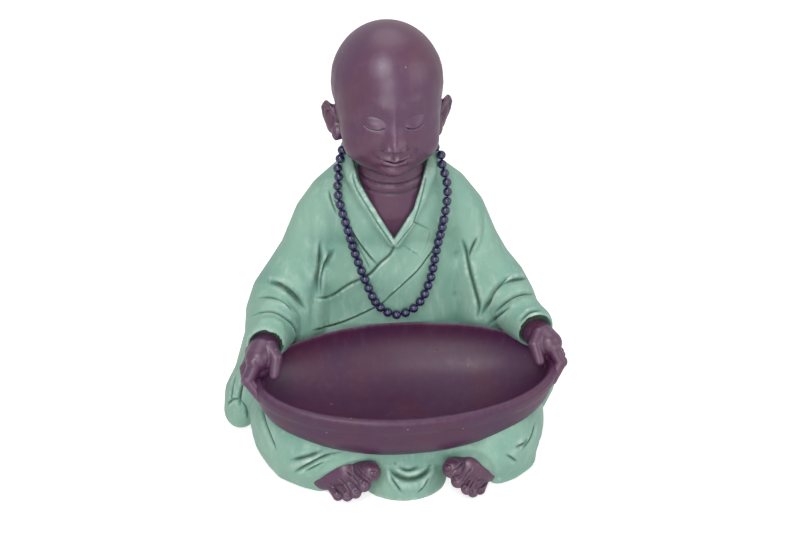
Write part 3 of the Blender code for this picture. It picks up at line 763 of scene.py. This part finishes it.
head_clay = []
limb(head_clay, [(0.5, 12, 118), (1, 11, 140), (1, 9, 172)], [(17, 14, 12), (18.5, 18.5, 18), (17, 17, 17)], 0.12)
ball(head_clay, (MIDDLE, 12, 208), (29.5, 31.5, 31.5))
ball(head_clay, (MIDDLE, 7, 199), (28, 29, 28))
ball(head_clay, (MIDDLE, 0, 188), (26.5, 22.5, 22), (-12, 0, 0))
ball(head_clay, (MIDDLE, -3, 179.5), (23.5, 17.5, 16))
ball(head_clay, (MIDDLE, -11, 172), (11, 8.5, 8))
for side in (-1, 1):
    ball(head_clay, (MIDDLE + side * 15, -4.5, 181), (10.5, 13, 10.5))
    ball(head_clay, (MIDDLE + side * (28 + (0.8 if side > 0 else 0)), 16.3, 185.5), (2.4, 5.6, 9), (8, 0, -side * 38))
    flare = 0.8 if side < 0 else 1.0
    rim = [(27.5, 12.2, 187), (28.4, 11.6, 190), (30.4, 13.5, 193.6), (32.8, 16.6, 194.8), (34.2, 19.2, 191.5),
           (33.4, 19.8, 186.5), (30.8, 19, 181.5), (27.4, 16.6, 177.6), (25, 13.6, 176.4)]
    rim = [(26 + (x - 26) * flare + (1.4 * side if z < 180 and side < 0 else 0), y, z) for x, y, z in rim]
    limb(head_clay, [(MIDDLE + side * x, y, z) for x, y, z in rim], [1.3, 1.4, 1.5, 1.6, 1.6, 1.6, 1.8, 2.4, 2.3])
    fold_in = [(31.2, 15.2, 192.4), (32.4, 17.2, 188), (30.6, 16.2, 182.5)]
    limb(head_clay, [(MIDDLE + side * x, y, z) for x, y, z in fold_in], [1.0, 1.2, 1.1])
    ball(head_clay, (MIDDLE + side * 28.4, 11.8, 184), (1.6, 1.6, 2.4))
    ball(head_clay, (MIDDLE + side * 26.3, 11.5, 180), (3.2, 4.5, 5))
head = pour("head", head_clay, 0.8, 6)
head_skin = Skin(head)

# The skull and cheeks are eased well, the ears are left crisp.
wide = np.abs(head_skin.at[:, 0] / MM - MIDDLE)
ease(head_skin, 26, 0.6, np.clip((27.5 - wide) / 2, 0, 1) * np.clip((head_skin.at[:, 2] / MM - 160) / 6, 0, 1))
head_skin.write()
head_skin.refresh()


def face_frame(skin):
    """Across, up and outward places on the face (mm), and how far each point faces out."""
    across = skin.at[:, 0] / MM - MIDDLE
    up = skin.at @ FACE_UP / MM - EYE_LINE
    return across, up, np.clip((skin.out @ FACE_OUT - 0.15) / 0.35, 0, 1) * (skin.at[:, 2] > 0.158)


fine_form = bmesh.new()
fine_form.from_mesh(head.data)
fine_form.verts.ensure_lookup_table()
for level in range(2):
    near_face = [e for e in fine_form.edges if all(
        v.normal.dot(Vector(FACE_OUT)) > 0.2 and abs(v.co.x / MM - MIDDLE) < 19.5
        and -32 < v.co.dot(Vector(FACE_UP)) / MM - EYE_LINE < 12 and v.co.y < 0.004 for v in e.verts)]
    if level == 1:
        near_face = [e for e in near_face if all(abs(v.co.x / MM - MIDDLE) < 17.5
                     and -26 < v.co.dot(Vector(FACE_UP)) / MM - EYE_LINE < 6 for v in e.verts)]
    bmesh.ops.subdivide_edges(fine_form, edges=near_face, cuts=1, use_grid_fill=True)
    bmesh.ops.triangulate(fine_form, faces=[f for f in fine_form.faces if len(f.verts) > 4])
    fine_form.normal_update()
fine_form.to_mesh(head.data)
fine_form.free()
head_skin.wash = np.zeros(len(head.data.vertices))
head_skin.refresh()
across, up, facing = face_frame(head_skin)
wide = np.abs(across)


def hump(x, y, cx, cy, rx, ry):
    return np.exp(-((x - cx) / rx) ** 2 - ((y - cy) / ry) ** 2)


def span(value, half, soft):
    return np.clip((half - np.abs(value)) / soft, 0, 1)


# Generic calm child's face: eye line a little below the middle of the head, eyes one eye's
# width apart, nose base halfway from the eyes to the chin, mouth a third above the chin.
NOSE_BASE, MOUTH, CHIN = -13.6, -19.8, -28.6
eye = (wide - 10.6) / 5.3
arch = np.clip(1 - eye ** 2, 0, 1)
slit = -2.0 - 1.2 * arch
lid_fold = 1.2 + 1.3 * arch
brow = 7.4 + 2.2 * np.clip(1 - ((wide - 10.5) / 8.5) ** 2, 0, 1)
relief = -2.3 * hump(wide, up, 9.5, 1.5, 7.5, 5.2)
relief += 1.9 * hump(wide, up, 10.6, -1.0, 5.2, 3.2)
relief += 0.45 * np.clip((up - slit) / 0.5, 0, 1) * np.clip((slit + 3.4 - up) / 3.0, 0, 1) * span(eye, 1, 0.4)
relief -= 0.6 * np.exp(-((up - slit + 0.2) / 0.42) ** 2) * span(eye, 1.08, 0.3)
relief -= 0.25 * np.exp(-((up - lid_fold) / 0.6) ** 2) * span(eye, 1.1, 0.7)
relief += 0.2 * np.exp(-((up - slit + 2.0) / 1.3) ** 2) * span(eye, 1, 0.6)
relief += 0.4 * np.exp(-((up - brow) / 2.4) ** 2) * np.clip((wide - 3) / 3, 0, 1) * span(wide, 18, 6)
bridge = np.clip((5.5 - up) / 17.0, 0, 1)
root = np.clip((up - NOSE_BASE + 0.6) / 1.3, 0, 1)
relief += (0.6 + 2.4 * bridge) * np.exp(-(across / (3.4 + 1.3 * bridge)) ** 2) * np.clip((5 - up) / 9, 0, 1) * root
relief += 1.8 * hump(across, up, 0, NOSE_BASE + 2.9, 3.7, 2.7) * root
relief += 2.2 * hump(wide, up, 4.4, NOSE_BASE + 1.9, 1.9, 2.0) * root
relief -= 0.6 * hump(wide, up, 6.7, NOSE_BASE + 1.9, 1.0, 2.3)
relief -= 1.2 * hump(wide, up, 2.5, NOSE_BASE - 0.1, 1.15, 0.7)
smile = MOUTH + 0.55 * (across / 7.2) ** 2 - 0.25 * np.exp(-(across / 1.6) ** 2)
relief += 1.9 * hump(across, up, 0, MOUTH + 0.3, 9.5, 5.4)
relief -= 0.5 * hump(across, up, 0, MOUTH + 3.9, 1.0, 1.5)
upper = smile + 1.35 - 0.45 * np.exp(-(across / 1.3) ** 2)
relief += 1.25 * np.exp(-((up - upper) / 1.15) ** 2) * np.clip(1 - (wide / 7.8) ** 2, 0, 1) ** 0.7
relief += 1.6 * np.exp(-((up - smile + 1.75) / 1.35) ** 2) * np.clip(1 - (wide / 6.2) ** 2, 0, 1) ** 0.7
relief -= 1.1 * np.exp(-((up - smile) / 0.45) ** 2) * span(wide, 7.6, 1.8)
relief -= 0.5 * hump(wide, up, 8.2, MOUTH + 0.6, 1.4, 1.5)
relief -= 1.0 * hump(across, up, 0, MOUTH - 4.2, 5.2, 1.4)
relief += 1.7 * hump(across, up, 0, CHIN, 6.0, 3.4)
relief += 1.0 * hump(wide, up, 14, -12, 6.5, 7)
relief -= 0.5 * hump(wide, up, 10.5, MOUTH + 1, 2.0, 4.0)
head_skin.at += FACE_OUT * (relief * facing * MM)[:, None]
dark = np.exp(-((up - slit + 0.2) / 0.5) ** 2) * span(eye, 1.05, 0.3)
dark = np.maximum(dark, 0.85 * np.exp(-((up - smile) / 0.38) ** 2) * span(wide, 7.6, 1.8))
dark = np.maximum(dark, 0.9 * hump(wide, up, 2.5, NOSE_BASE - 0.2, 1.0, 0.6))
head_skin.wash = np.maximum(head_skin.wash, dark * facing)
head_skin.write()
head_skin.refresh()

# Ears: a dip in the shell; neck: two soft creases under the chin.
for side in (-1, 1):
    shell = [(MIDDLE + side * 31, 12.5, 188), (MIDDLE + side * 31, 12.5, 184)]
    under_rim = [(MIDDLE + side * 31.5, 12.5, 193.8), (MIDDLE + side * 34.5, 16, 192.5), (MIDDLE + side * 34, 17, 186)]
    groove(head_skin, head_skin.near(shell), 1.8, 1.6, 0.0, 0.9)
    groove(head_skin, head_skin.near(under_rim), 0.5, 0.6, 0.2, 0.6)
for z, depth in ((156.5, 0.9), (151.5, 0.35)):
    ring = [(1 + 22 * math.sin(a), 10 - 22 * math.cos(a), z + 3 * (1 - math.cos(a)))
            for a in map(math.radians, range(-80, 81, 20))]
    groove(head_skin, head_skin.near(ring), depth, 0.9, 0.2, 0.7, depth * 0.3)
store_paint(head_skin)
head.data.materials.append(skin_paint)
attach(head, "root")


# Bowl: a wide oval turned form, thick at its rounded rim, tipped a little towards the viewer.
# It is modelled in with the figure and coloured like the skin.
bpy.ops.mesh.primitive_uv_sphere_add(segments=192, ring_count=96, radius=1)
bowl = bpy.context.object
bowl.name = bowl.data.name = "bowl"
unit = np.empty(len(bowl.data.vertices) * 3)
bowl.data.vertices.foreach_get("co", unit)
unit = unit.reshape(-1, 3)
around = np.arctan2(unit[:, 1], unit[:, 0])
rise = np.arcsin(np.clip(unit[:, 2], -1, 1)) / math.pi + 0.5    # 0 under the bowl, 1 inside it
# the section from the foot, over the rim, to the middle of the hollow: share of radius, wall, height
section = [(0.0, 0.0, -(BOWL_DEPTH + BOWL_FOOT))]
for k in range(1, 60):
    a = math.radians(90 - k * 1.5)
    section.append((math.cos(a) ** 0.86, BOWL_WALL, -(BOWL_DEPTH + BOWL_FOOT) * math.sin(a) ** 0.82))
for degrees in (0, 25, 50, 75, 100, 125, 150, 180):
    a = math.radians(degrees)
    section.append((1.0, BOWL_WALL * (0.5 + 0.5 * math.cos(a)), 2.0 * math.sin(a) - 2.0))
for k in range(1, 61):
    a = math.radians(k * 1.5)
    section.append((math.cos(a) ** 0.75 if k < 60 else 0.0, 0.0, -2.0 - (BOWL_DEPTH - 2.0) * math.sin(a) ** 1.15))
section = np.array(section)
runs = np.hypot(np.diff(section[:, 0] * BOWL_HALF_WIDTH * 1.4 + section[:, 1]), np.diff(section[:, 2]))
runs = np.concatenate([[0], np.cumsum(runs)]) / runs.sum()
share, wall, height = (np.interp(rise, runs, section[:, k]) for k in range(3))
# under the rolled rim the wall draws in a little, and against the belly the rim is thin
wall -= (rise < 0.5) * (0.9 * np.exp(-((height + 9) / 6.0) ** 2) - 0.4 * np.exp(-((height + 24) / 9) ** 2))
wall *= 0.2 + 0.8 * np.clip((0.55 - np.sin(around)) / 0.5, 0, 1)
# hand-modelled: the rim wanders a little and the wall isn't quite even
wobble = 0.35 * np.sin(around * 3 + 0.7) + 0.25 * np.sin(around * 7 + 2.1) + 0.15 * np.sin(around * 13)
rimward = np.exp(-((height + 2) / 6) ** 2)
local = np.stack([(BOWL_HALF_LENGTH + wobble * 0.5) * share * np.cos(around) + wall * share * np.cos(around),
                  (BOWL_HALF_WIDTH + wobble * 0.5) * share * np.sin(around) + wall * share * np.sin(around),
                  height + wobble * rimward * 0.6], 1)
placed = (local * MM) @ np.array(bowl_turn).T + np.array(BOWL_CENTRE)
bowl.data.vertices.foreach_set("co", placed.ravel())
bowl.data.update()
bpy.ops.object.shade_smooth()
bowl_skin = Skin(bowl)
store_paint(bowl_skin)
bowl.data.materials.append(bowl_paint)
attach(bowl, "root")


# Hands: each holds an end of the bowl, the thumb inside the rim and four fingers outside.
for name, back, base, middle, tip, thumb, web in (
        ("hand_left", [(-68.5, -22, 75.5), (-72, -31, 75.5), (-74.5, -36, 74)], (-76.5, -40, 73),
         (-80.5, -43, 65), (-74, -46.5, 56),
         [(-68.5, -33, 78.5), (-65.3, -38.5, 75), (-66.6, -42.8, 67.5)], (-73, -35, 68)),
        ("hand_right", [(74, -22, 74), (77.5, -31, 73.5), (80.5, -36, 72.5)], (82, -40, 71.5),
         (85.5, -43, 64.5), (80.5, -46.5, 56),
         [(75.5, -33, 76.5), (72.2, -38.5, 73.5), (74, -42.8, 66)], (79.5, -35, 67.5))):
    side = -1 if name == "hand_left" else 1
    clay = []
    limb(clay, back, [8, 7.6, 7])
    knuckles, tips = [], []
    for k in range(4):
        aside = Vector((0, 4.2 * k, 0))
        rise_k = Vector((0, 0, (0, 1.2, 1.0, -0.5)[k]))
        chain = [Vector(base) + aside + rise_k, Vector(middle) + aside + rise_k,
                 Vector(tip) + aside + Vector((0, 0, 1.5 * k))]
        limb(clay, chain, [3.7, 3.3, 2.8])
        ball(clay, chain[0] + Vector((side * 0.8, 0, 0.8)), 3.7)
        ball(clay, chain[1] + Vector((side * 0.6, 0, 0.3)), 3.3)
        knuckles.append(chain)
        tips.append(chain[2])
    limb(clay, thumb, [4.4, 3.7, 3.0])
    ball(clay, web, 6)
    hand = pour(name, clay, 0.6, 3)
    hand_skin = Skin(hand)
    out = Vector((side * 6, 0, 0))
    for k in range(3):
        between = [(p + q) / 2 + out for p, q in zip(knuckles[k], knuckles[k + 1])]
        groove(hand_skin, hand_skin.near(between), 1.0, 0.7, 0.1, 0.9)
    for chain in knuckles:
        for joint in (chain[1], chain[1].lerp(chain[2], 0.55)):
            cross_line = [joint + out + Vector((0, d, 0)) for d in (-1.6, 0, 1.6)]
            groove(hand_skin, hand_skin.near(cross_line), 0.35, 0.4, 0.2, 0.5)
        nail = chain[2] + Vector((side * 5, 0, -0.5))
        oval = [nail + Vector((0, 1.3 * math.cos(a), 1.7 * math.sin(a)))
                for a in map(math.radians, range(0, 361, 40))]
        groove(hand_skin, hand_skin.near(oval), 0.3, 0.3, 0.0, 0.6)
    store_paint(hand_skin)
    hand.data.materials.append(skin_paint)
    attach(hand, "root")


# Feet: bare, lying on their outer edges with the toes towards the middle. Slots between
# the toes and the nails are drawn in the picture, as on the robe.
for name, dorsum, sizes, toes, slots, nails in (
        ("foot_left", [(-41, -49, 10), (-31, -55, 13)], [10.5, 9.5],
         (((-25, -58, 17), (-19, -66, 18.5), 5.3), ((-29, -60, 14), (-22.5, -67, 11), 3.5),
          ((-33, -59, 11), (-27, -67, 6.8), 3.1), ((-36.5, -57, 8), (-31.3, -66, 4.4), 2.9),
          ((-40, -55, 6), (-36, -63.5, 3.6), 2.9)),
         ([(356, 466), (362, 474), (372, 482)], [(347, 471), (353, 477), (360, 487)],
          [(338, 477), (345, 484), (351, 494)], [(328, 482), (335, 488), (343, 496)]),
         ((374, 474, 3.6), (364, 482.5, 2.7), (356, 491.5, 2.3), (347.5, 495.5, 2.1), (338.5, 495, 1.9))),
        ("foot_right", [(44.5, -53, 11), (35, -59, 13)], [10.5, 9.5],
         (((29, -62, 17), (24.5, -67, 18), 5.2), ((33, -63, 14), (27, -70, 11.5), 3.5),
          ((37, -63, 10.5), (31.8, -71, 7), 3.1), ((40.5, -61, 7.5), (35.2, -70, 4.2), 2.9),
          ((43.5, -59, 5), (39.5, -67, 3.6), 2.9)),
         ([(464, 462), (458, 468), (450, 474)], [(473, 467), (467, 474), (461, 484)],
          [(481, 474), (474, 481), (468, 490)], [(489, 481), (482, 486), (475, 494)]),
         ((447, 468, 3.6), (456, 478, 2.7), (464.5, 485.5, 2.3), (471.5, 492, 2.1), (480, 491.5, 1.9)))):
    clay = []
    limb(clay, dorsum, sizes)
    for base, tip, r in toes:
        limb(clay, [base, tip], [r * 0.9, r])
        ball(clay, Vector(tip), r * 1.06)
    foot = pour(name, clay, 0.55, 3)
    foot_skin = Skin(foot)
    for slot in slots:
        line = foot_skin.seen(slot)
        if len(line) > 1:
            groove(foot_skin, line, 0.7, 0.5, 0.2, 0.9, 0.15)
    for x, y, r in nails:
        oval = [(x + r * math.cos(a), y + r * 0.9 * math.sin(a)) for a in map(math.radians, range(0, 361, 45))]
        line = foot_skin.seen(oval)
        if len(line) > 1:
            groove(foot_skin, line, 0.4, 0.32, 0.0, 0.8)
    foot_skin.at[:, 2] = np.maximum(foot_skin.at[:, 2], 0)
    store_paint(foot_skin)
    foot.data.materials.append(skin_paint)
    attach(foot, "root")


# Necklace: loose round beads on a plain thread, hung round the neck over the collar.
# Beads and thread lie where the CAD parts have them.
BEAD_RADIUS = 2.46
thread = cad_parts["necklace_thread"]
thread.data.materials.clear()
thread.data.materials.append(thread_paint)
names = sorted(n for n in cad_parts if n.startswith("bead_"))
centres = []
for name in names:
    low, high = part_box(name)
    centres.append((Vector(low) + Vector(high)) / 2)
for i, name in enumerate(names):
    way = (centres[(i + 1) % len(names)] - centres[i - 1]).normalized()
    bpy.ops.mesh.primitive_uv_sphere_add(segments=24, ring_count=16, radius=BEAD_RADIUS * MM, location=centres[i],
                                         rotation=way.to_track_quat('Z', 'X').to_euler())
    bead = bpy.context.object
    bpy.ops.object.transform_apply(location=True, rotation=True, scale=True)
    bpy.ops.object.shade_smooth()
    bead.name = "bead_fine_%02d" % (i + 1)
    bead.data.materials.append(bead_paint)
    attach(bead, "root")
    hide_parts(name)
